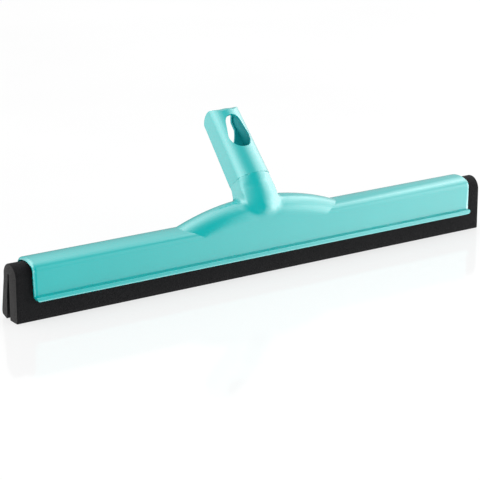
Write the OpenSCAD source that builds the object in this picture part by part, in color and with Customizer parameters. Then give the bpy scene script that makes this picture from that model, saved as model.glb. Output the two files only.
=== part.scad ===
// Floor squeegee head: a moulded holder, a click plug for the handle and a double-lip foam blade.
// Millimetres. X runs along the blade, -Y is the front, +Z is up.
// The origin is on the floor, in the middle of the front lip's sole.

/* [Blade] */
// Length of the foam blade
blade_len = 450; // [300:5:750]
// Width of the foam where the holder grips it
foam_w = 20.4; // [18:0.2:24]
// Height of the foam's rounded back above the floor
foam_h = 44.8; // [42:0.2:47]
// Thickness of the upright front lip
front_lip_t = 11.7; // [9:0.1:13]
// Height above the floor where the slit between the lips begins
slit_top = 37.6; // [30:0.2:38]
// Width of the slit just below its head
slit_head_w = 1.7; // [1:0.1:2.5]
// Width of the slit at the floor
slit_mouth_w = 6; // [4:0.1:7]
// How far the rear lip spreads backwards at its heel
heel_out = 4.6; // [2:0.1:6]
// Height of the rear lip's heel above the floor
heel_h = 5; // [3:0.1:8]
// Rise of the rear lip's sole from its toe to its heel
sole_rise = 2.2; // [1:0.1:2.8]
// How far the heel tucks in below its edge
heel_tuck = 0.6; // [0.2:0.1:1.5]
// Bevel along the front lip's lower edge
sole_bevel = 0.8; // [0.3:0.1:2]

/* [Channel] */
// How far the foam stands out past each end of the channel
overhang = 12.7; // [5:0.1:25]
// Height of the channel's back above the floor
channel_top = 48; // [48:0.2:52]
// Height above the floor where the upright faces turn into the shoulder
shoulder_h = 39.7; // [38:0.1:41]
// Radius of the channel's shoulders
shoulder_r = 7; // [4:0.1:7.4]
// Height of the channel's lower edge above the floor
mouth_h = 16.3; // [12:0.1:20]
// Wall of the channel
wall = 2.1; // [1.6:0.1:2.6]
// How far each face leans in from the shoulder to the lower edge
face_lean = 0.8; // [0.2:0.1:1.2]
// Radius of the rolled bead along the lower edge
bead_r = 2; // [1.5:0.1:2.5]
// Reach of the bead in front of the face
bead_out = 4; // [3:0.1:5]
// Chamfer that leads the foam into the channel's mouth
mouth_lead = 1.8; // [1.2:0.1:2.2]
// Height of the grip ridges inside the channel
grip_h = 0.5; // [0.3:0.1:0.8]
// Spacing of the grip ridges
grip_pitch = 5; // [3:0.5:6]
// Length of each grip ridge's ramp
grip_ramp = 1.5; // [1:0.1:2.5]
// Grip ridges on each inner face
grip_count = 3; // [1:1:3]
// Gap left between the foam and the grip ridges
foam_gap = 0.3; // [0.2:0.05:0.5]
// How much shorter the channel is at its lower edge, each end
end_draft = 1.2; // [0:0.1:3]
// Radius of the channel's lower end corners
end_corner_r = 4; // [1:0.5:6]

/* [Yoke] */
// Distance from the middle to each foot of the bow on the channel's back
bow_foot = 76; // [60:1:110]
// Rise of the bow's crest above the channel's back
bow_rise = 14.5; // [12:0.1:17]
// Wall of the hollow bow
yoke_wall = 2.5; // [2:0.1:3.5]
// Thickness of the cross ribs inside the bow
rib_t = 1.8; // [1.2:0.1:2.5]
// Spacing of the cross ribs
rib_pitch = 15; // [10:1:25]

/* [Neck] */
// Lean of the plug from upright, to the back
plug_lean = 43; // [38:0.5:48]
// Distance of the neck's shoulder behind the channel's middle
shoulder_back = 8.7; // [6:0.1:12]
// Height of the neck's shoulder above the floor
shoulder_up = 75.3; // [73:0.1:80]
// Height above the floor where the prow tucks into the front face
prow_foot = 50; // [49:0.1:52]
// How far the prow swells in front of its foot
prow_swell = 5.4; // [3:0.1:7]
// Half width of the neck at its foot
neck_foot_w = 18; // [16:0.1:20]
// Rise of the neck's arched front above its sides, at the foot
prow_crown = 5.5; // [3:0.1:8]
// Small step from the plug down to the neck, all round
shoulder_step = 0.4; // [0.2:0.1:0.8]

/* [Plug] */
// Length of the plug from its shoulder to the top of its domed tip
plug_len = 64.8; // [60:0.2:75]
// Width of the plug at the shoulder
plug_w = 31; // [28:0.1:33]
// Depth of the plug at the shoulder
plug_depth = 23; // [21:0.1:24]
// Narrowing of the width towards the tip
plug_taper = 3; // [0:0.1:4]
// Narrowing of the depth towards the tip
plug_rake = 1.5; // [0:0.1:2.5]
// Rounding of the plug's front corners
front_r = 8.5; // [6:0.1:10]
// How much wider the plug is at its back, each side
plug_splay = 0.5; // [0:0.1:2]
// Rounding of the plug's rear corners
rear_r = 1.2; // [0.8:0.1:3]
// Wall of the plug
plug_wall = 2.2; // [1.6:0.1:2.6]
// Radius of the domed tip, seen from the side
dome_r = 12.8; // [12:0.1:18]
// Length of the neck's tenon inside the plug
tenon_len = 17; // [10:0.5:22]
// Gap between the tenon and the plug
tenon_gap = 0.1; // [0.05:0.05:0.2]
// Radius of the latch window's wide lower end
window_low_r = 11.1; // [8:0.1:11.4]
// Radius of the latch window's upper end
window_high_r = 8.4; // [6:0.1:9]
// Height of the window's lower centre above the shoulder
window_low = 35.6; // [33:0.1:38]
// Distance between the window's two centres
window_run = 11.2; // [8:0.1:13]
// Half width of the opening in the plug's back
rear_open_w = 11.2; // [8:0.1:11.4]
// Lowest point of the rear opening above the shoulder
rear_open_low = 35.5; // [30:0.1:40]
// Height over which the rear opening widens to its full width
rear_open_rise = 15; // [8:0.5:18]
// How far the tip's roof reaches back past the plug's middle
tip_roof = 4; // [2:0.1:6]

/* [Hidden] */

turquoise = [0.33, 0.78, 0.78];
turquoise_light = [0.38, 0.82, 0.82];
black_foam = [0.09, 0.09, 0.09];

// Points along a quarter arc, rings along the neck, facets of the round cuts and of the bow's long arc
arc_steps = 12;
corner_steps = 4;
neck_steps = 14;
round_fn = 72;
bow_fn = 360;
// Overlap that keeps cuts clear of the faces they start from
eps = 0.01;
over = 1;

// Foam and channel widths, from the foam outwards
foam_half = foam_w / 2;
throat_half = foam_half + foam_gap + grip_h;
face_half_low = throat_half + wall;
face_half = face_half_low + face_lean;
throat_top = mouth_h + 2 * bead_r;
channel_len = blade_len - 2 * overhang;
sole_mid = -foam_half + front_lip_t / 2;

// Crown of the channel: one arc that meets both shoulder arcs smoothly
shoulder_x = face_half - shoulder_r;
shoulder_rise = channel_top - shoulder_h;
crown_reach = pow(shoulder_x, 2) + pow(shoulder_rise, 2) - pow(shoulder_r, 2);
crown_r = crown_reach / (2 * (shoulder_rise - shoulder_r));
crown_z = channel_top - crown_r;
crown_turn = atan2(shoulder_h - crown_z, shoulder_x);

// Radius of the bow's crest, and its turn to each side, with a few degrees more to bury the feet
bow_r = (bow_foot * bow_foot + bow_rise * bow_rise) / (2 * bow_rise);
bury_turn = 2;
bow_turn = asin(bow_foot / bow_r) + bury_turn;

// Plug axis and front direction in Y and Z, and the edges of the neck's shoulder
axis_dir = [sin(plug_lean), cos(plug_lean)];
front_dir = [-cos(plug_lean), sin(plug_lean)];
shoulder_mid = [shoulder_back, shoulder_up];
shoulder_half = plug_depth / 2 - shoulder_step;
shoulder_front = shoulder_mid + front_dir * shoulder_half;
shoulder_rear = shoulder_mid - front_dir * shoulder_half;

// Control points of the neck's front and rear profiles, from the shoulder to the foot
front_pull = 16.5;
prow_lift = 8.3;
prow_tuck = 0.7;
rear_pull = 5.7;
rear_lift = 10.3;
rear_foot_up = 2;
foot_front = [prow_tuck - face_half, prow_foot];
foot_rear = [face_half - yoke_wall, prow_foot + rear_foot_up];
front_profile = [
    shoulder_front,
    shoulder_front - axis_dir * front_pull,
    foot_front + [-prow_swell, prow_lift],
    foot_front
];
rear_profile = [
    shoulder_rear,
    shoulder_rear - axis_dir * rear_pull,
    foot_rear + [0, rear_lift],
    foot_rear
];

// Points along an arc from angle a to angle b
function arc(c, r, a, b, n = arc_steps) =
    [for (i = [0 : n]) let (t = a + (b - a) * i / n) [c[0] + r * cos(t), c[1] + r * sin(t)]];

// Half arch from the right-hand face over the shoulder to the crown, set in by the wall
function half_arch(inset) = concat(
    arc([shoulder_x, shoulder_h], shoulder_r - inset, 0, crown_turn),
    [for (p = arc([0, crown_z], crown_r - inset, crown_turn, 90)) if (p[0] > eps) p]
);
function mirrored(points) = [for (i = [len(points) - 1 : -1 : 0]) [-points[i][0], points[i][1]]];
function symmetric(points) = concat(points, mirrored(points));

function mix(a, b, t) = a + (b - a) * t;
function bezier(p, t) =
    pow(1 - t, 3) * p[0] + 3 * t * pow(1 - t, 2) * p[1] + 3 * t * t * (1 - t) * p[2] + pow(t, 3) * p[3];

// Outline of the plug and neck across their axis: flat front, round front corners, straight sides.
// Points are [x, depth from the back]; every outline has the same number of points.
function keyed_outline(front_w, back_w, depth, front_corner, back_corner) = concat(
    arc([front_w - front_corner, depth - front_corner], front_corner, 0, 90),
    arc([front_corner - front_w, depth - front_corner], front_corner, 90, 180),
    arc([back_corner - back_w, back_corner], back_corner, 180, 270, corner_steps),
    arc([back_w - back_corner, back_corner], back_corner, 270, 360, corner_steps)
);

// Outline of the neck's foot, with one arch over the whole front
function arched_outline(half_w, depth, crown, back_corner) =
    let (
        arch_r = (half_w * half_w + crown * crown) / (2 * crown),
        turn = asin(half_w / arch_r)
    )
    concat(
        arc([0, depth - arch_r], arch_r, 90 - turn, 90 + turn, 2 * arc_steps + 1),
        arc([back_corner - half_w, back_corner], back_corner, 180, 270, corner_steps),
        arc([half_w - back_corner, back_corner], back_corner, 270, 360, corner_steps)
    );

// One ring of the neck at t, from 0 at the shoulder to 1 at the foot
function neck_ring(t) =
    let (
        front = bezier(front_profile, t),
        rear = bezier(rear_profile, t),
        depth = norm(front - rear),
        along = (front - rear) / depth,
        top_w = plug_w / 2 - shoulder_step,
        top = keyed_outline(top_w, top_w + plug_splay, depth, front_r, rear_r),
        foot = arched_outline(neck_foot_w, depth, prow_crown, plug_wall),
        outline = mix(top, foot, t)
    )
    [for (p = outline) let (q = rear + along * p[1]) [p[0], q[0], q[1]]];

// One ring of the plug at height h above the shoulder, set in all round
function plug_ring(h, inset) =
    let (
        part = h / plug_len,
        half_w = plug_w / 2 - plug_taper / 2 * part - inset,
        outline = keyed_outline(
            half_w,
            half_w + plug_splay,
            plug_depth - plug_rake * part - 2 * inset,
            front_r - inset,
            max(rear_r - inset, rear_r / 2)
        )
    )
    [for (p = outline) [p[0], plug_depth / 2 - inset - p[1], h]];

// Solid through a list of rings, from the lowest up, with equal counts of points
module loft(rings) {
    count = len(rings[0]);
    last = len(rings) - 1;
    points = [for (ring = rings, p = ring) p];
    lower_cap = [for (i = [count - 1 : -1 : 0]) i];
    upper_cap = [for (i = [0 : count - 1]) last * count + i];
    sides = [
        for (k = [0 : last - 1], i = [0 : count - 1])
            let (j = (i + 1) % count, a = k * count, b = a + count)
            each [[a + i, a + j, b + j], [a + i, b + j, b + i]]
    ];
    polyhedron(points, concat([lower_cap], sides, [upper_cap]));
}

// Moves everything from the channel's middle plane to the part's own origin
module stand() {
    translate([0, -sole_mid, 0]) children();
}

// Stands children on the neck's shoulder, with Z along the plug and Y to its back
module on_shoulder() {
    translate([0, shoulder_back, shoulder_up]) rotate([-plug_lean, 0, 0]) children();
}

// Extrudes a section drawn in Y and Z along X, centred
module along_x(length) {
    rotate([90, 0, 90]) linear_extrude(length, center = true) children();
}

// Section of the channel's outside: leaning faces, shoulders, crown and the rolled bead
module channel_outside() {
    bead_x = face_half_low + bead_out - bead_r;
    polygon(symmetric(concat([[face_half_low, mouth_h]], half_arch(0))));
    translate([-bead_x, mouth_h]) square([2 * bead_x, 2 * bead_r]);
    for (side = [-1, 1])
        translate([side * bead_x, mouth_h + bead_r]) circle(bead_r, $fn = round_fn);
}

// Section of the space that the foam fills, with barbed grip ridges left standing on its faces
module channel_inside() {
    barb = [[face_lean, -grip_ramp], [face_lean, 0], [-grip_h, 0]];
    difference() {
        polygon(symmetric(concat(
            [[throat_half + mouth_lead, mouth_h - eps], [throat_half, throat_top]],
            half_arch(wall)
        )));
        for (side = [0, 1], i = [1 : grip_count])
            mirror([side, 0]) translate([throat_half, throat_top + grip_pitch * i]) polygon(barb);
    }
}

// Front view of the channel: ends drawn in downwards, lower corners rounded
module channel_front() {
    low = channel_len / 2 - end_draft;
    polygon(symmetric(concat(
        arc([low - end_corner_r, mouth_h + end_corner_r], end_corner_r, -90, 0),
        [[channel_len / 2, channel_top + eps]]
    )));
}

module channel_solid() {
    intersection() {
        along_x(channel_len + over) channel_outside();
        rotate([90, 0, 0]) linear_extrude(4 * face_half, center = true) channel_front();
    }
}

// Half-round bow that springs from the channel's back on both sides and carries the neck
module bow(inset) {
    half = face_half - inset;
    axis_r = bow_r - face_half;
    bottom = inset > 0 ? shoulder_h - over : shoulder_h;
    intersection() {
        translate([0, 0, channel_top + bow_rise - bow_r])
            rotate([90, bow_turn - 90, 0])
                rotate_extrude(angle = 2 * bow_turn, $fn = bow_fn)
                    polygon(concat(
                        arc([axis_r, 0], half, -90, 90, 2 * arc_steps),
                        [[axis_r - channel_top, half], [axis_r - channel_top, -half]]
                    ));
        translate([-2 * bow_foot, -2 * face_half, bottom])
            cube([4 * bow_foot, 4 * face_half, 2 * channel_top]);
    }
}

// Hollow of the bow, open to the channel below, with cross ribs left standing in it
module bow_hollow() {
    ribs = floor(bow_foot / rib_pitch);
    difference() {
        bow(yoke_wall);
        for (i = [-ribs : ribs])
            translate([i * rib_pitch - rib_t / 2, -face_half, channel_top - wall])
                cube([rib_t, 2 * face_half, channel_top]);
    }
}

module neck() {
    loft([for (k = [neck_steps : -1 : 0]) neck_ring(k / neck_steps)]);
}

module tenon() {
    inset = plug_wall + tenon_gap;
    on_shoulder() loft([plug_ring(-over, inset), plug_ring(tenon_len, inset)]);
}

// Plug shape from height low up to the domed tip, set in all round
module plug_body(low, inset) {
    centre = plug_len - dome_r;
    intersection() {
        loft([plug_ring(low, inset), plug_ring(plug_len, inset)]);
        union() {
            translate([-plug_w, -plug_depth, low]) cube([2 * plug_w, 2 * plug_depth, centre - low]);
            translate([-plug_w, 0, centre]) rotate([0, 90, 0])
                cylinder(2 * plug_w, r = dome_r - inset, $fn = round_fn);
        }
    }
}

// Egg-shaped latch window, cut through the plug's front
module window_cut() {
    tilt = asin((window_low_r - window_high_r) / window_run);
    rim = [
        [window_low_r * cos(tilt), window_low_r * sin(tilt)],
        [window_high_r * cos(tilt), window_run + window_high_r * sin(tilt)]
    ];
    translate([0, 0, window_low]) rotate([90, 0, 0]) linear_extrude(plug_depth) {
        circle(window_low_r, $fn = round_fn);
        translate([0, window_run]) circle(window_high_r, $fn = round_fn);
        polygon(symmetric(rim));
    }
}

// Opening in the plug's back: a parabola below, straight sides up through the back of the tip
module rear_opening() {
    right_edge = [for (i = [1 : arc_steps]) let (part = i / arc_steps)
        [rear_open_w * part, rear_open_low + rear_open_rise * part * part]];
    translate([0, tip_roof, 0]) rotate([-90, 0, 0]) mirror([0, 1, 0]) linear_extrude(plug_depth)
        polygon(symmetric(concat(right_edge, [[rear_open_w, plug_len + over]])));
}

module holder() color(turquoise) stand() difference() {
    union() {
        channel_solid();
        bow(0);
        neck();
        tenon();
    }
    along_x(blade_len) channel_inside();
    bow_hollow();
}

module handle_plug() color(turquoise_light) stand() on_shoulder() difference() {
    plug_body(0, 0);
    plug_body(-over, plug_wall);
    window_cut();
    rear_opening();
}

module blade() color(black_foam) stand() {
    front = -foam_half;
    slit_front = front + front_lip_t;
    head_r = slit_head_w / 2;
    along_x(blade_len) polygon(concat(
        [[slit_front, 0], [front + sole_bevel, 0], [front, sole_bevel]],
        arc([0, foam_h - foam_half], foam_half, 180, 0, 2 * arc_steps),
        [
            [foam_half, throat_top - foam_gap],
            [foam_half + heel_out, heel_h],
            [foam_half + heel_out - heel_tuck, sole_rise],
            [slit_front + slit_mouth_w, 0]
        ],
        arc([slit_front + head_r, slit_top - head_r], head_r, 0, 180)
    ));
}

holder();
handle_plug();
blade();
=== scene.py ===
import math

import bmesh
import bpy
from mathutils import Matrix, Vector, kdtree


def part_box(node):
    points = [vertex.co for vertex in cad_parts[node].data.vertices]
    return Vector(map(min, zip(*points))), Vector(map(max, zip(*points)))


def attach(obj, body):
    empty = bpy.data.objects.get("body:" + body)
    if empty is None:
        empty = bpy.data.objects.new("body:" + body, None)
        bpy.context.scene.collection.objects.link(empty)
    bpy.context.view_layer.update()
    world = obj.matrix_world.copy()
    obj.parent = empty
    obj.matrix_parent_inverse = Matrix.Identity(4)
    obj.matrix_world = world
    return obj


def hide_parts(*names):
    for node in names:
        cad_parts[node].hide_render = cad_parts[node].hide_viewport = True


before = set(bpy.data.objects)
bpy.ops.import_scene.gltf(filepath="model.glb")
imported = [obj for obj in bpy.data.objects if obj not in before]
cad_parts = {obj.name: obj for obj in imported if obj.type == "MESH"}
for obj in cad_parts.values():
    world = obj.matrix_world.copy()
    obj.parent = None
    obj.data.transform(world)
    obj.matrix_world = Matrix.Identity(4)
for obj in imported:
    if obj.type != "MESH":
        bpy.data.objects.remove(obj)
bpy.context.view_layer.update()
scene = bpy.context.scene

# Millimetres in a metre
MM = 1000.0
WHITE = (1.0, 1.0, 1.0, 1.0)


# Node helpers

def node_tree(name):
    material = bpy.data.materials.new(name)
    material.use_nodes = True
    tree = material.node_tree
    return material, tree, tree.nodes["Principled BSDF"]


def add_node(tree, kind, **inputs):
    made = tree.nodes.new(kind)
    for key, value in inputs.items():
        made.inputs[key].default_value = value
    return made


def object_coords(tree):
    return tree.nodes.new("ShaderNodeTexCoord").outputs["Object"]


def noise(tree, coords, scale, detail=2.0, roughness=0.5):
    made = add_node(tree, "ShaderNodeTexNoise", Scale=scale, Detail=detail, Roughness=roughness)
    tree.links.new(coords, made.inputs["Vector"])
    return made.outputs["Fac"]


def ramp(tree, factor, stops):
    made = tree.nodes.new("ShaderNodeValToRGB")
    elements = made.color_ramp.elements
    while len(elements) < len(stops):
        elements.new(0.5)
    for element, (place, colour) in zip(elements, stops):
        element.position = place
        element.color = (*colour, 1.0)
    tree.links.new(factor, made.inputs["Fac"])
    return made.outputs["Color"]


def spread(tree, value, before, after):
    made = tree.nodes.new("ShaderNodeMapRange")
    for key, number in zip(("From Min", "From Max", "To Min", "To Max"), (*before, *after)):
        made.inputs[key].default_value = number
    tree.links.new(value, made.inputs["Value"])
    return made.outputs["Result"]


def bump(tree, height, distance, strength, below=None):
    made = add_node(tree, "ShaderNodeBump", Distance=distance, Strength=strength)
    tree.links.new(height, made.inputs["Height"])
    if below is not None:
        tree.links.new(below, made.inputs["Normal"])
    return made.outputs["Normal"]


def calculate(tree, operation, *values):
    made = tree.nodes.new("ShaderNodeMath")
    made.operation = operation
    for socket, value in zip(made.inputs, values):
        if isinstance(value, float):
            socket.default_value = value
        else:
            tree.links.new(value, socket)
    return made.outputs["Value"]


# Materials

# Scales of the noise in the plastic's colour, gloss and grain
COLOUR_SCALE, GLOSS_SCALE, GRAIN_SCALE = 14.0, 60.0, 900.0
GLOSS_CHANGE = 0.03
GRAIN_DEPTH, GRAIN_STRENGTH = 0.00004, 0.05
PLASTIC_IOR = 1.5
PLASTIC_ROUGHNESS = 0.13
INSIDE_ROUGHNESS, INSIDE_SHINE = 0.6, 0.3
# Scales of the foam's pores and of its uneven skin
PORE_SCALE, SKIN_SCALE = 1100.0, 160.0
PORE_DEPTH, PORE_STRENGTH = 0.0005, 0.6
SKIN_DEPTH, SKIN_STRENGTH = 0.0006, 0.5
FOAM_ROUGHNESS, FOAM_SHINE = 0.78, 0.12


def plastic(name, dark, light, roughness, shine=1.0):
    material, tree, shader = node_tree(name)
    coords = object_coords(tree)
    patches = noise(tree, coords, COLOUR_SCALE, 3.0)
    tree.links.new(ramp(tree, patches, [(0.3, dark), (0.7, light)]), shader.inputs["Base Color"])
    limits = (roughness - GLOSS_CHANGE, roughness + GLOSS_CHANGE)
    gloss = spread(tree, noise(tree, coords, GLOSS_SCALE, 3.0), (0.0, 1.0), limits)
    tree.links.new(gloss, shader.inputs["Roughness"])
    grain = bump(tree, noise(tree, coords, GRAIN_SCALE, 2.0), GRAIN_DEPTH, GRAIN_STRENGTH)
    tree.links.new(grain, shader.inputs["Normal"])
    shader.inputs["IOR"].default_value = PLASTIC_IOR
    shader.inputs["Specular IOR Level"].default_value = shine
    return material


def cell_foam(name, dark, light):
    material, tree, shader = node_tree(name)
    coords = object_coords(tree)
    cells = add_node(tree, "ShaderNodeTexVoronoi", Scale=PORE_SCALE)
    tree.links.new(coords, cells.inputs["Vector"])
    pores = cells.outputs["Distance"]
    tree.links.new(ramp(tree, pores, [(0.1, dark), (0.6, light)]), shader.inputs["Base Color"])
    skin = bump(tree, noise(tree, coords, SKIN_SCALE, 4.0, 0.6), SKIN_DEPTH, SKIN_STRENGTH)
    tree.links.new(bump(tree, pores, PORE_DEPTH, PORE_STRENGTH, skin), shader.inputs["Normal"])
    shader.inputs["Roughness"].default_value = FOAM_ROUGHNESS
    shader.inputs["Specular IOR Level"].default_value = FOAM_SHINE
    return material


turquoise = plastic(
    "turquoise_plastic", (0.003, 0.455, 0.45), (0.005, 0.485, 0.48), PLASTIC_ROUGHNESS
)
plug_turquoise = plastic(
    "plug_plastic", (0.003, 0.46, 0.455), (0.005, 0.49, 0.485), PLASTIC_ROUGHNESS
)
# Darker copy of the plug's plastic for the inside of its shell: painted shade where the hollow lies
# in shadow
plug_shaded_inside = plastic(
    "plug_plastic_painted_shade_inside", (0.002, 0.4, 0.42), (0.004, 0.43, 0.45), INSIDE_ROUGHNESS, INSIDE_SHINE
)
foam_black = cell_foam("black_foam", (0.0014, 0.0014, 0.0017), (0.0065, 0.0065, 0.0072))
foam_cut = cell_foam("black_foam_cut", (0.012, 0.012, 0.012), (0.04, 0.039, 0.039))


# Plane curves

def arc(centre, radius, start, end, steps):
    turns = [math.radians(start + (end - start) * i / steps) for i in range(steps + 1)]
    return [(centre[0] + radius * math.cos(t), centre[1] + radius * math.sin(t)) for t in turns]


def mixed(a, b, shares):
    return [
        (p[0] + (q[0] - p[0]) * t, p[1] + (q[1] - p[1]) * t) for p, q, t in zip(a, b, shares)
    ]


def straight(a, b, steps):
    shares = [i / steps for i in range(1, steps)]
    return mixed([a] * len(shares), [b] * len(shares), shares)


def bezier(points, t):
    s = 1.0 - t
    weights = (s ** 3, 3 * t * s * s, 3 * t * t * s, t ** 3)
    return tuple(sum(w * v for w, v in zip(weights, values)) for values in zip(*points))


def moved(point, direction, length):
    return (point[0] + direction[0] * length, point[1] + direction[1] * length)


def eased(value):
    value = min(1.0, max(0.0, value))
    return value * value * (3.0 - 2.0 * value)


# Sizes of the solids in mm, with y from the middle of the channel

MIDDLE_Y = 4.35
FACE_HALF = 13.9
CHANNEL_TOP, CHANNEL_MIDDLE, MOUTH = 48.0, 34.0, 16.3
END_X, END_DRAFT = 212.3, 1.2
BOW_R, BOW_CREST = 206.42, 62.5
BOW_MID_Z = BOW_CREST - BOW_R
NECK_LEAN = math.radians(43.0)
NECK_AXIS = (math.sin(NECK_LEAN), math.cos(NECK_LEAN))
NECK_FRONT = (-math.cos(NECK_LEAN), math.sin(NECK_LEAN))
# Shoulder under the plug, the neck's feet, and the pulls of the curves between them
SHOULDER = (8.7, 75.3)
RING_HALF_W, RING_HALF_D = 15.1, 11.1
FOOT_HALF_W, FOOT_CROWN = 18.0, 5.5
FRONT_FOOT, REAR_FOOT = (0.7 - FACE_HALF, 50.0), (FACE_HALF - 2.5, 52.0)
FRONT_PULL, REAR_PULL = 16.5, 5.7
FRONT_FOOT_PULL, REAR_FOOT_PULL = (-5.4, 8.3), (0.0, 10.3)
TENON_HALF_W, TENON_BACK = 13.5, 1.5
PLUG_LENGTH, PLUG_HALF_W, PLUG_HALF_D, PLUG_TAPER = 64.8, 15.5, 11.5, 1.5
FRONT_CORNER = 8.5


# Places on the solids

def local(vertex):
    return vertex.co.x * MM, vertex.co.y * MM - MIDDLE_Y, vertex.co.z * MM


def above_bow(x, y, z):
    out = math.hypot(x, z - BOW_MID_Z) - (BOW_R - FACE_HALF)
    return math.hypot(out, y) - FACE_HALF if out > 0.0 else abs(y) - FACE_HALF


def above_shoulder(y, z):
    return (y - SHOULDER[0]) * NECK_AXIS[0] + (z - SHOULDER[1]) * NECK_AXIS[1]


def ahead_of_axis(y, z):
    return (y - SHOULDER[0]) * NECK_FRONT[0] + (z - SHOULDER[1]) * NECK_FRONT[1]


# Finer mesh around the neck

REFINED_LOW, REFINED_HIGH = (-36.0, -30.0, 38.0), (36.0, 40.0, 90.0)
REFINED_STEP, REFINED_SHIFT = 1.5, 0.013
# Depth below the bow's surface down to which the mesh is refined and smoothed
BOW_SKIN = 1.2
TOUCH = 1e-6


def cut_through(shape, faces, place, normal):
    edges = list({e for f in faces for e in f.edges})
    verts = list({v for f in faces for v in f.verts})
    bmesh.ops.bisect_plane(
        shape, geom=faces + edges + verts, dist=TOUCH, plane_co=place, plane_no=normal
    )


def refined(shape):
    def cut(axis, at, chosen):
        crossed = []
        for face in chosen:
            values = [v.co[axis] for v in face.verts]
            if min(values) < at - TOUCH and max(values) > at + TOUCH:
                crossed.append(face)
        if crossed:
            normal = Vector([float(i == axis) for i in range(3)])
            cut_through(shape, crossed, normal * at, normal)

    def inside(face):
        centre = face.calc_center_median() * MM
        in_box = all(a < c < b for a, c, b in zip(REFINED_LOW, centre, REFINED_HIGH))
        return in_box and above_bow(centre.x, centre.y - MIDDLE_Y, centre.z) > -BOW_SKIN

    side = REFINED_HIGH[0] / MM
    cut(0, -side, list(shape.faces))
    cut(0, side, list(shape.faces))
    middle = [f for f in shape.faces if abs(f.calc_center_median().x) < side]
    cut(2, REFINED_LOW[2] / MM, middle)
    for axis in range(3):
        count = int((REFINED_HIGH[axis] - REFINED_LOW[axis]) / REFINED_STEP)
        for k in range(1, count + 1):
            at = (REFINED_LOW[axis] + k * REFINED_STEP + REFINED_SHIFT) / MM
            cut(axis, at, [f for f in shape.faces if inside(f)])


# Outlines across the neck and the plug: the solids' own, and the fuller arch of the photo

ARCH_CROWN, ARCH_CORNER, ARCH_STEPS = 7.2, 1.6, 41
CORNER_STEPS = 12
FAR_BACK = -40.0


def keyed_outline(half_w, depth):
    centre = (half_w - FRONT_CORNER, depth - FRONT_CORNER)
    right = arc(centre, FRONT_CORNER, 0, 90, CORNER_STEPS)
    return right + [(-x, f) for x, f in reversed(right)]


def arched_outline(half_w, depth, crown, count):
    arch_r = (half_w * half_w + crown * crown) / (2.0 * crown)
    turn = math.degrees(math.asin(half_w / arch_r))
    return arc((0.0, depth - arch_r), arch_r, 90.0 - turn, 90.0 + turn, count)


def full_outline(half_w, depth):
    arch = []
    for x, f in arched_outline(half_w, depth, ARCH_CROWN, ARCH_STEPS):
        near_side = max(0.0, abs(x) - (half_w - ARCH_CORNER)) / ARCH_CORNER
        arch.append((x, f - 0.5 * ARCH_CORNER * near_side ** 2))
    return arch


def reach(outline, x, f):
    closed = [(outline[0][0], FAR_BACK)] + outline + [(outline[-1][0], FAR_BACK)]
    for (ax, af), (bx, bf) in zip(closed, closed[1:]):
        turn = x * (bf - af) - f * (bx - ax)
        if abs(turn) < 1e-12:
            continue
        far = (ax * (bf - af) - af * (bx - ax)) / turn
        share = (ax * f - af * x) / turn
        if far > 0.0 and -TOUCH <= share <= 1.0 + TOUCH:
            return far
    return 1.0


# Neck of the holder: fuller front, flush shoulder, and fillets where it stands on the bow

NECK_STATIONS = 240
# What lies higher is the tenon, and what lies inside the outline close below is the shoulder
TENON_FROM, SHOULDER_BAND, SHOULDER_STEP = 0.05, 0.3, 1.06
CLEAR_OF_BOW, NECK_REACH, BOW_BLEND = 0.12, 19.5, 3.0
FLUSH, FLUSH_DEPTH = 0.25, 11.0
# Slight hollow in the front: its depth, and where it starts and fades along the neck
DENT, DENT_START, DENT_FADE, DENT_LENGTH = 1.5, 0.25, 0.35, 0.5
FILLET_CORE, FILLET_REACH, FILLET_PULL, FILLET_ROUNDS = 1.25, 6.0, 0.6, 30
FILLET_GAP, FILLET_FADE = 0.8, 3.0


def neck_stations():
    front = moved(SHOULDER, NECK_FRONT, RING_HALF_D)
    rear = moved(SHOULDER, NECK_FRONT, -RING_HALF_D)
    front_pulls = moved(front, NECK_AXIS, -FRONT_PULL), moved(FRONT_FOOT, FRONT_FOOT_PULL, 1.0)
    rear_pulls = moved(rear, NECK_AXIS, -REAR_PULL), moved(REAR_FOOT, REAR_FOOT_PULL, 1.0)
    stations = []
    for i in range(NECK_STATIONS + 1):
        t = i / NECK_STATIONS
        a = bezier((front, *front_pulls, FRONT_FOOT), t)
        b = bezier((rear, *rear_pulls, REAR_FOOT), t)
        depth = math.hypot(a[0] - b[0], a[1] - b[1])
        along = ((a[0] - b[0]) / depth, (a[1] - b[1]) / depth)
        keyed = keyed_outline(RING_HALF_W, depth / 2)
        arched = arched_outline(FOOT_HALF_W, depth / 2, FOOT_CROWN, len(keyed) - 1)
        old = mixed(keyed, arched, [t] * len(keyed))
        fresh = full_outline(RING_HALF_W + (FOOT_HALF_W - RING_HALF_W) * t, depth / 2)
        stations.append((t, b, along, depth, old, fresh))
    return stations


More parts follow.
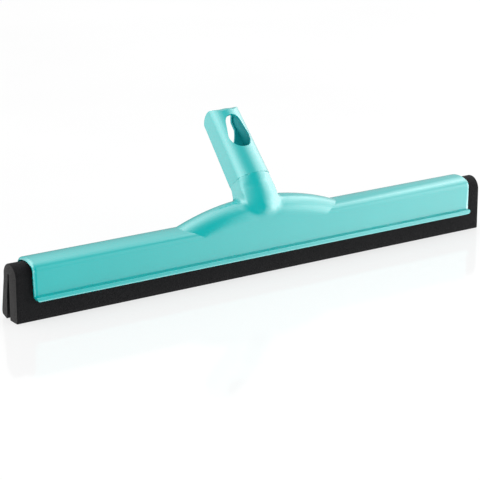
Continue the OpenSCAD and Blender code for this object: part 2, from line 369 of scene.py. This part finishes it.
def fuller_neck(shape):
    stations = neck_stations()
    on_neck, near = set(), []
    for vertex in shape.verts:
        x, y, z = local(vertex)
        up = above_shoulder(y, z)
        if abs(x) > REFINED_HIGH[0] or z < REFINED_LOW[2] or up > TENON_FROM:
            continue
        height = above_bow(x, y, z)
        if height > -BOW_SKIN:
            near.append(vertex)
        if height < CLEAR_OF_BOW or abs(x) > NECK_REACH:
            continue
        t, rear, along, depth, old, fresh = min(
            stations, key=lambda s: abs((y - s[1][0]) * s[2][1] - (z - s[1][1]) * s[2][0])
        )
        f = (y - rear[0]) * along[0] + (z - rear[1]) * along[1] - depth / 2
        at_tenon = f < -depth / 2 + TENON_BACK and abs(x) < TENON_HALF_W
        if up > -SHOULDER_BAND and (at_tenon or reach(old, x, f) > SHOULDER_STEP):
            continue
        on_neck.add(vertex)
        free = eased(height / BOW_BLEND)
        swell = 1.0
        if f > 0.0:
            swell += free * (reach(fresh, x, f) / reach(old, x, f) - 1.0)
        flush = FLUSH * (1.0 - t) ** 2
        dent = DENT * eased(t / DENT_START) * (1.0 - eased((t - DENT_FADE) / DENT_LENGTH))
        dent *= eased(2.0 * f / depth) * free
        new_f = f * swell * (1.0 + flush / FLUSH_DEPTH) - dent
        vertex.co.x = x * swell * (1.0 + flush / RING_HALF_W) / MM
        vertex.co.y += along[0] * (new_f - f) / MM
        vertex.co.z += along[1] * (new_f - f) / MM
    return on_neck, near


def fillets(on_neck, near):
    seam = [
        v for v in near
        if v not in on_neck and any(e.other_vert(v) in on_neck for e in v.link_edges)
    ]
    tree = kdtree.KDTree(len(seam))
    for i, vertex in enumerate(seam):
        tree.insert(vertex.co, i)
    tree.balance()
    pull = {}
    for vertex in near:
        x, y, z = local(vertex)
        weight = eased(FILLET_CORE - tree.find(vertex.co)[2] * MM / FILLET_REACH)
        weight *= eased((-above_shoulder(y, z) - FILLET_GAP) / FILLET_FADE)
        if weight > 0.0:
            pull[vertex] = FILLET_PULL * weight
    for _ in range(FILLET_ROUNDS):
        places = {}
        for vertex, weight in pull.items():
            around = [e.other_vert(vertex).co for e in vertex.link_edges]
            places[vertex] = vertex.co.lerp(sum(around, Vector()) / len(around), weight)
        for vertex, place in places.items():
            vertex.co = place


# Ends of the channel, rounded above the bead

END_R = 3.0
# Distances of the cuts from the end, with the last where the rounding starts
END_CUTS = (0.29, 0.69, 1.19, 1.79, 2.39, 2.79)
END_ZONE = 200.0
BEAD_TOP, BEAD_FADE = 20.8, 2.5


def rounded_ends(shape):
    slope = END_DRAFT / (CHANNEL_TOP - MOUTH)
    for side in (-1.0, 1.0):
        for gap in END_CUTS:
            faces = [f for f in shape.faces if max(v.co.x * side for v in f.verts) > END_ZONE / MM]
            place = Vector((side * (END_X - gap), 0.0, CHANNEL_TOP)) / MM
            cut_through(shape, faces, place, Vector((side, 0.0, -slope)))
    shape.normal_update()
    places = {}
    for vertex in shape.verts:
        x, y, z = local(vertex)
        from_end = END_X - (CHANNEL_TOP - z) * slope - abs(x)
        short = END_CUTS[-1] - from_end
        if abs(x) < END_ZONE or short <= 0.0 or z < BEAD_TOP:
            continue
        walls = [f.normal for f in vertex.link_faces if abs(f.normal.x) < 0.5]
        if not walls or any(y * n.y + (z - CHANNEL_MIDDLE) * n.z < 0.0 for n in walls):
            continue
        outward = sum(walls, Vector()).normalized()
        drop = END_R - math.sqrt(max(0.0, END_R ** 2 - short ** 2))
        places[vertex] = vertex.co - outward * drop * eased((z - BEAD_TOP) / BEAD_FADE) / MM
    for vertex, place in places.items():
        vertex.co = place


def moulded_holder(shape):
    refined(shape)
    fillets(*fuller_neck(shape))
    rounded_ends(shape)


# Plug with the same fuller front as the neck, cut into strips along its length (in m)

STRIPS_EACH_SIDE, STRIP_WIDTH, STRIP_SHIFT = 10, 0.0015, 0.00003


def moulded_plug(shape):
    side = Vector((1.0, 0.0, 0.0))
    for k in range(-STRIPS_EACH_SIDE, STRIPS_EACH_SIDE + 1):
        cut_through(shape, list(shape.faces), side * (k * STRIP_WIDTH + STRIP_SHIFT), side)
    for vertex in shape.verts:
        x, y, z = local(vertex)
        f = ahead_of_axis(y, z)
        if f <= 0.0:
            continue
        taper = PLUG_TAPER * above_shoulder(y, z) / PLUG_LENGTH
        half_w, half_d = PLUG_HALF_W - taper, PLUG_HALF_D - taper
        old, fresh = keyed_outline(half_w, half_d), full_outline(half_w, half_d)
        swell = reach(fresh, x, f) / reach(old, x, f)
        change = f * (swell - 1.0) / MM
        vertex.co.x = x * swell / MM
        vertex.co.y += NECK_FRONT[0] * change
        vertex.co.z += NECK_FRONT[1] * change


# Inside of the plug's shell, painted darker with the shaded copy of its plastic: faces that look
# towards its axis by more than this (in mm)

INWARD = 2.0


def faces_inward(face):
    centre = face.calc_center_median() * MM
    forward = ahead_of_axis(centre.y - MIDDLE_Y, centre.z)
    facing = face.normal.y * NECK_FRONT[0] + face.normal.z * NECK_FRONT[1]
    return centre.x * face.normal.x + forward * facing < -INWARD


# Crease where the bow springs from the channel, outside the refined middle

ON_BOW = 0.06
CREASE_ANGLE = math.radians(3.0)


def on_bow(vertex):
    return abs(above_bow(*local(vertex))) < ON_BOW


def at_bow_foot(edge):
    if len(edge.link_faces) != 2:
        return False
    if any(abs(v.co.x) < REFINED_HIGH[0] / MM or not on_bow(v) for v in edge.verts):
        return False
    first, second = [all(on_bow(v) for v in face.verts) for face in edge.link_faces]
    return first != second and edge.calc_face_angle(0.0) > CREASE_ANGLE


# Moulded pieces, dressed from the frame's solids

WELD = 2e-6
FLAT_ANGLE, SHARP_ANGLE = math.radians(0.3), math.radians(32)


def dressed(name, node, material, body, reshape, inner=None):
    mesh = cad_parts[node].data.copy()
    mesh.name = name
    mesh.materials.clear()
    mesh.materials.append(material)
    if inner is not None:
        mesh.materials.append(inner)
    piece = bpy.data.objects.new(name, mesh)
    scene.collection.objects.link(piece)
    shape = bmesh.new()
    shape.from_mesh(mesh)
    bmesh.ops.remove_doubles(shape, verts=shape.verts, dist=WELD)
    bmesh.ops.dissolve_limit(
        shape, angle_limit=FLAT_ANGLE, verts=shape.verts, edges=shape.edges
    )
    reshape(shape)
    shape.normal_update()
    for face in shape.faces:
        face.smooth = True
        # Faces turned inward take the second material, which for the plug is its darker copy as
        # painted shade
        face.material_index = int(inner is not None and faces_inward(face))
    shape.edges.index_update()
    creases = [edge.index for edge in shape.edges if at_bow_foot(edge)]
    shape.to_mesh(mesh)
    shape.free()
    mesh.set_sharp_from_angle(angle=SHARP_ANGLE)
    for index in creases:
        mesh.edges[index].use_edge_sharp = True
    normals = piece.modifiers.new("normals", "WEIGHTED_NORMAL")
    normals.keep_sharp = True
    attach(piece, body)
    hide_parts(node)


dressed("holder_shell", "holder", turquoise, "head", moulded_holder)
dressed(
    "plug_shell", "handle_plug", plug_turquoise, "head", moulded_plug, plug_shaded_inside
)


# Foam blade, built as one strip with rounded edges and soft lips (in m)

FOAM_HALF, FOAM_LIFT, FRONT_LIP = 0.0102, 0.0007, 0.0117
TOE_HEIGHT = 0.001
# Heights at which the rear lip starts to spread, inside the channel and at the free ends
LIP_BEND, FREE_BEND = 0.02, 0.033
HEEL_HEIGHT = 0.0053
# Points of the sole ahead of the heel's edge, and of the slit behind the front lip
HEEL_SOLE = (0.0012, 0.0019)
SLIT_FOOT, SLIT_NECK = (0.0052, 0.0022), (0.0017, 0.0355)
SLIT_WIDTH_LOW, SLIT_HEAD_R, SLIT_HEAD_Z = 0.0065, 0.001, 0.0362
FOAM_ROUND, FREE_LENGTH, INNER_STATIONS = 0.0006, 0.0125, 60
FREE_STATIONS = (0.0, FOAM_ROUND * 0.3, FOAM_ROUND, 0.004, 0.008, FREE_LENGTH)
# What lies behind these is the rear lip and its outer skin; its slit side spreads less
REAR_LIP, REAR_SKIN, SLIT_SIDE_SHARE = 0.0125, 0.0195, 0.4
# Half of the section's size, over which the ends' rounding draws in, and its middle height
TUCK_SIZE, TUCK_MIDDLE, TUCK_UPRIGHT = 0.022, 0.02, 0.5
FOAM_SHARP = math.radians(50)


def foam_section(low, high):
    front, heel = low.y, high.y
    rear = front + 2 * FOAM_HALF
    dome = high.z + FOAM_LIFT - FOAM_HALF
    slit = front + FRONT_LIP
    sole = (heel - HEEL_SOLE[0], HEEL_SOLE[1])
    foot = (slit + SLIT_FOOT[0], SLIT_FOOT[1])
    neck = (slit + SLIT_NECK[0], SLIT_NECK[1])
    return [
        (slit - 0.0004, 0.0), (front + 0.0012, 0.0), (front + 0.0004, 0.0003), (front, TOE_HEIGHT),
        *straight((front, TOE_HEIGHT), (front, dome), 12),
        *arc((front + FOAM_HALF, dome), FOAM_HALF, 180, 0, 32),
        *straight((rear, dome), (rear, LIP_BEND), 8),
        (rear, LIP_BEND),
        *straight((rear, LIP_BEND), (heel, HEEL_HEIGHT), 6),
        (heel - 0.0001, 0.0056), (heel, 0.0046), (heel - 0.0005, 0.0025), sole,
        *straight(sole, (slit + SLIT_WIDTH_LOW, 0.0), 3),
        (slit + 0.0063, 0.0), (slit + 0.0057, 0.0004), foot,
        *straight(foot, neck, 12),
        *arc((slit + SLIT_HEAD_R, SLIT_HEAD_Z), SLIT_HEAD_R, -10, 190, 12),
        *straight((slit, SLIT_NECK[1]), (slit, 0.0006), 12),
        (slit, 0.0005),
    ]


def foam_rings(shape, section, low, high):
    heel = high.y - low.y - 2 * FOAM_HALF
    inner = high.x - low.x - 2 * FREE_LENGTH
    stations = [low.x + d for d in FREE_STATIONS]
    stations += [low.x + FREE_LENGTH + inner * i / INNER_STATIONS for i in range(1, INNER_STATIONS)]
    stations += [high.x - d for d in reversed(FREE_STATIONS)]
    rings = []
    for x in stations:
        from_end = min(x - low.x, high.x - x)
        short = max(0.0, FOAM_ROUND - from_end)
        tuck = FOAM_ROUND - math.sqrt(max(0.0, FOAM_ROUND ** 2 - short ** 2))
        pull = tuck / TUCK_SIZE
        free = max(0.0, 1.0 - from_end / FREE_LENGTH)
        ring = []
        for y, z in section:
            flare = 0.0
            if y > low.y + REAR_LIP and z < FREE_BEND:
                at_free_end = (FREE_BEND - z) / (FREE_BEND - HEEL_HEIGHT)
                in_channel = max(0.0, (LIP_BEND - z) / (LIP_BEND - HEEL_HEIGHT))
                share = 1.0 if y > low.y + REAR_SKIN else SLIT_SIDE_SHARE
                flare = free * heel * max(0.0, at_free_end - in_channel) * share
            across = y + flare + (low.y + FOAM_HALF - y) * pull
            ring.append(shape.verts.new((x, across, z + (TUCK_MIDDLE - z) * pull * TUCK_UPRIGHT)))
        rings.append(ring)
    return rings


def foam_strip(name):
    low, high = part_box("blade")
    section = foam_section(low, high)
    shape = bmesh.new()
    rings = foam_rings(shape, section, low, high)
    count = len(section)
    for a, b in zip(rings, rings[1:]):
        for i in range(count):
            j = (i + 1) % count
            shape.faces.new((a[i], b[i], b[j], a[j]))
    shape.faces.new(rings[0])
    shape.faces.new(reversed(rings[-1]))
    bmesh.ops.recalc_face_normals(shape, faces=shape.faces)
    for face in shape.faces:
        on_side = len(face.verts) == 4
        face.smooth = on_side
        face.material_index = int(not on_side)
    mesh = bpy.data.meshes.new(name)
    mesh.materials.append(foam_black)
    mesh.materials.append(foam_cut)
    shape.to_mesh(mesh)
    shape.free()
    mesh.set_sharp_from_angle(angle=FOAM_SHARP)
    piece = bpy.data.objects.new(name, mesh)
    scene.collection.objects.link(piece)
    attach(piece, "blade")
    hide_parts("blade")


foam_strip("foam_blade")

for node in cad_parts.values():
    node.data.materials.clear()
    node.data.materials.append(foam_black if node.name == "blade" else turquoise)


# Lit white table and studio light

TABLE_HALF = 12.0
TABLE_DARK, TABLE_LIGHT = (0.24, 0.24, 0.24), (0.26, 0.26, 0.26)
TABLE_PATCHES, TABLE_GLOW = 3.0, 0.79
TABLE_POLISH, TABLE_GLOSS = 0.07, 0.1
ROOM_LIGHT = 1.05
# Soft boxes as seen in the gloss: azimuth, elevation, tightness and strength
SOFT_BOXES = [
    (-112.0, 32.0, 5.0, 3.9), (-150.0, 62.0, 10.0, 3.0), (155.0, 52.0, 7.0, 1.35),
    (-150.0, -12.0, 9.0, 1.6), (-30.0, -52.0, 9.0, 2.4), (-72.0, 46.0, 12.0, 2.6),
    (-60.0, -15.0, 10.0, 3.0), (95.0, 72.0, 12.0, 1.0),
]
# Bright ground ahead and on the right: brightness by azimuth, and by the height of the direction
GROUND_AROUND = [
    (16.0, 0.0), (22.0, 0.05), (27.0, 0.75), (30.0, 1.1), (34.0, 1.7), (40.0, 2.8),
    (62.0, 6.0), (84.0, 5.3), (100.0, 3.1), (120.0, 1.7), (142.0, 0.5), (165.0, 0.0),
]
GROUND_UPWARD = [
    (-0.6, 0.6), (-0.3, 1.0), (0.1, 0.95), (0.35, 0.8), (0.5, 0.38),
    (0.62, 0.18), (0.75, 0.14), (0.87, 0.08), (1.0, 0.0),
]
GROUND_PEAK = 6.0
# Low wall of light ahead on the right, which the shoulders and the bead mirror
WALL_AROUND = [
    (25.5, 0.0), (28.0, 0.3), (33.0, 0.45), (40.0, 0.8), (46.0, 0.8), (54.0, 0.3), (60.0, 0.0),
]
WALL_UPWARD = [(-0.3, 0.0), (-0.1, 0.6), (0.1, 1.0), (0.5, 1.0), (0.6, 0.65), (0.67, 0.0)]
WALL_PEAK = 0.8
# Tall panel close on the right: brightness along its length in y, and up its height in z
PANEL_ENDS = ((0.42, -0.46), (0.68, 0.5))
PANEL_HEIGHT = 1.3
PANEL_ALONG = [
    (-0.46, 0.0), (-0.38, 0.8), (-0.32, 1.4), (-0.27, 2.0), (-0.2, 2.2), (-0.1, 2.5), (0.0, 3.0),
    (0.1, 3.4), (0.2, 3.4), (0.26, 2.8), (0.32, 2.0), (0.39, 1.1), (0.45, 0.5), (0.5, 0.0),
]
PANEL_UP = [
    (0.0, 0.1), (0.2, 0.3), (0.3, 0.5), (0.4, 0.8), (0.5, 1.0),
    (0.6, 0.95), (0.75, 0.6), (0.9, 0.4), (1.1, 0.2), (1.3, 0.0),
]
PANEL_PEAK = 3.4


def sheet(name, corners, material):
    mesh = bpy.data.meshes.new(name)
    mesh.from_pydata(corners, [], [(0, 1, 2, 3)])
    mesh.materials.append(material)
    made = bpy.data.objects.new(name, mesh)
    scene.collection.objects.link(made)
    return made


def white_table():
    material, tree, shader = node_tree("table_white")
    patches = noise(tree, object_coords(tree), TABLE_PATCHES)
    colour = ramp(tree, patches, [(0.3, TABLE_DARK), (0.7, TABLE_LIGHT)])
    tree.links.new(colour, shader.inputs["Base Color"])
    shader.inputs["Roughness"].default_value = 1.0
    shader.inputs["Specular IOR Level"].default_value = 0.0
    shader.inputs["Emission Color"].default_value = WHITE
    shader.inputs["Emission Strength"].default_value = TABLE_GLOW
    gloss = add_node(tree, "ShaderNodeBsdfGlossy", Roughness=TABLE_POLISH)
    blend = add_node(tree, "ShaderNodeMixShader", Fac=TABLE_GLOSS)
    tree.links.new(shader.outputs["BSDF"], blend.inputs[1])
    tree.links.new(gloss.outputs["BSDF"], blend.inputs[2])
    tree.links.new(blend.outputs["Shader"], tree.nodes["Material Output"].inputs["Surface"])
    a = TABLE_HALF
    table = sheet("table", [(-a, -a, 0), (a, -a, 0), (a, a, 0), (-a, a, 0)], material)
    table.visible_glossy = False


def heading(azimuth, elevation):
    a, e = math.radians(azimuth), math.radians(elevation)
    return Vector((math.sin(a) * math.cos(e), -math.cos(a) * math.cos(e), math.sin(e)))


def soft_box(tree, direction, azimuth, elevation, tightness, strength):
    aim = tree.nodes.new("ShaderNodeVectorMath")
    aim.operation = "DOT_PRODUCT"
    tree.links.new(direction, aim.inputs[0])
    aim.inputs[1].default_value = heading(azimuth, elevation)
    fall = calculate(tree, "MULTIPLY_ADD", aim.outputs["Value"], tightness, -tightness)
    return calculate(tree, "MULTIPLY", calculate(tree, "EXPONENT", fall), strength)


def brightness(tree, value, limits, stops, peak=1.0):
    low, high = limits
    place = spread(tree, value, limits, (0.0, 1.0))
    return ramp(tree, place, [((at - low) / (high - low), (v / peak,) * 3) for at, v in stops])


def strength_of(tree, first, second, peak):
    return calculate(tree, "MULTIPLY", calculate(tree, "MULTIPLY", first, second), peak)


def light_band(tree, direction, around_stops, upward_stops, peak):
    split = tree.nodes.new("ShaderNodeSeparateXYZ")
    tree.links.new(direction, split.inputs["Vector"])
    front = calculate(tree, "MULTIPLY", split.outputs["Y"], -1.0)
    turn = calculate(tree, "ARCTAN2", split.outputs["X"], front)
    stops = [(math.radians(azimuth), v) for azimuth, v in around_stops]
    around = brightness(tree, turn, (0.0, math.pi), stops, peak)
    upward = brightness(tree, split.outputs["Z"], (-1.0, 1.0), upward_stops)
    return strength_of(tree, around, upward, peak)


def near_panel():
    material, tree, shader = node_tree("panel_light")
    split = tree.nodes.new("ShaderNodeSeparateXYZ")
    tree.links.new(object_coords(tree), split.inputs["Vector"])
    (ax, ay), (bx, by) = PANEL_ENDS
    along = brightness(tree, split.outputs["Y"], (ay, by), PANEL_ALONG, PANEL_PEAK)
    up = brightness(tree, split.outputs["Z"], (0.0, PANEL_HEIGHT), PANEL_UP)
    glow = tree.nodes.new("ShaderNodeEmission")
    tree.links.new(strength_of(tree, along, up, PANEL_PEAK), glow.inputs["Strength"])
    clear = tree.nodes.new("ShaderNodeBsdfTransparent")
    sheer = tree.nodes.new("ShaderNodeAddShader")
    tree.links.new(glow.outputs["Emission"], sheer.inputs[0])
    tree.links.new(clear.outputs["BSDF"], sheer.inputs[1])
    tree.links.new(sheer.outputs["Shader"], tree.nodes["Material Output"].inputs["Surface"])
    tree.nodes.remove(shader)
    corners = [(ax, ay, 0), (bx, by, 0), (bx, by, PANEL_HEIGHT), (ax, ay, PANEL_HEIGHT)]
    panel = sheet("panel", corners, material)
    panel.visible_camera = panel.visible_diffuse = False
    panel.visible_shadow = panel.visible_transmission = False


# The gloss mirrors the boxes and bands of light, and all else is lit by an even room

def studio_world():
    world = bpy.data.worlds.new("studio")
    scene.world = world
    world.use_nodes = True
    tree = world.node_tree
    room = tree.nodes["Background"]
    room.inputs["Color"].default_value = WHITE
    room.inputs["Strength"].default_value = ROOM_LIGHT
    direction = tree.nodes.new("ShaderNodeTexCoord").outputs["Generated"]
    light = light_band(tree, direction, GROUND_AROUND, GROUND_UPWARD, GROUND_PEAK)
    wall = light_band(tree, direction, WALL_AROUND, WALL_UPWARD, WALL_PEAK)
    light = calculate(tree, "ADD", light, wall)
    for values in SOFT_BOXES:
        light = calculate(tree, "ADD", light, soft_box(tree, direction, *values))
    boxes = add_node(tree, "ShaderNodeBackground", Color=WHITE)
    tree.links.new(light, boxes.inputs["Strength"])
    path = tree.nodes.new("ShaderNodeLightPath")
    blend = tree.nodes.new("ShaderNodeMixShader")
    tree.links.new(path.outputs["Is Glossy Ray"], blend.inputs["Fac"])
    tree.links.new(room.outputs["Background"], blend.inputs[1])
    tree.links.new(boxes.outputs["Background"], blend.inputs[2])
    tree.links.new(blend.outputs["Shader"], tree.nodes["World Output"].inputs["Surface"])


white_table()
near_panel()
studio_world()
scene.view_settings.view_transform = "Standard"


# Camera at the photo's place

CAMERA_TARGET = (-0.0156, 0.00665, 0.0274)
CAMERA_AZIMUTH, CAMERA_ELEVATION = -33.72, 17.37
CAMERA_DISTANCE, CAMERA_LENS, CAMERA_SENSOR = 1.58, 146.4, 36.0


def photo_camera():
    data = bpy.data.cameras.new("camera")
    data.sensor_width = CAMERA_SENSOR
    data.lens = CAMERA_LENS
    data.clip_start, data.clip_end = 0.05, 100.0
    eye = bpy.data.objects.new("camera", data)
    back = heading(CAMERA_AZIMUTH, CAMERA_ELEVATION)
    eye.location = Vector(CAMERA_TARGET) + back * CAMERA_DISTANCE
    eye.rotation_euler = (-back).to_track_quat("-Z", "Y").to_euler()
    scene.collection.objects.link(eye)
    scene.camera = eye


photo_camera()


# Bring the scene's placements up to date

bpy.context.view_layer.update()
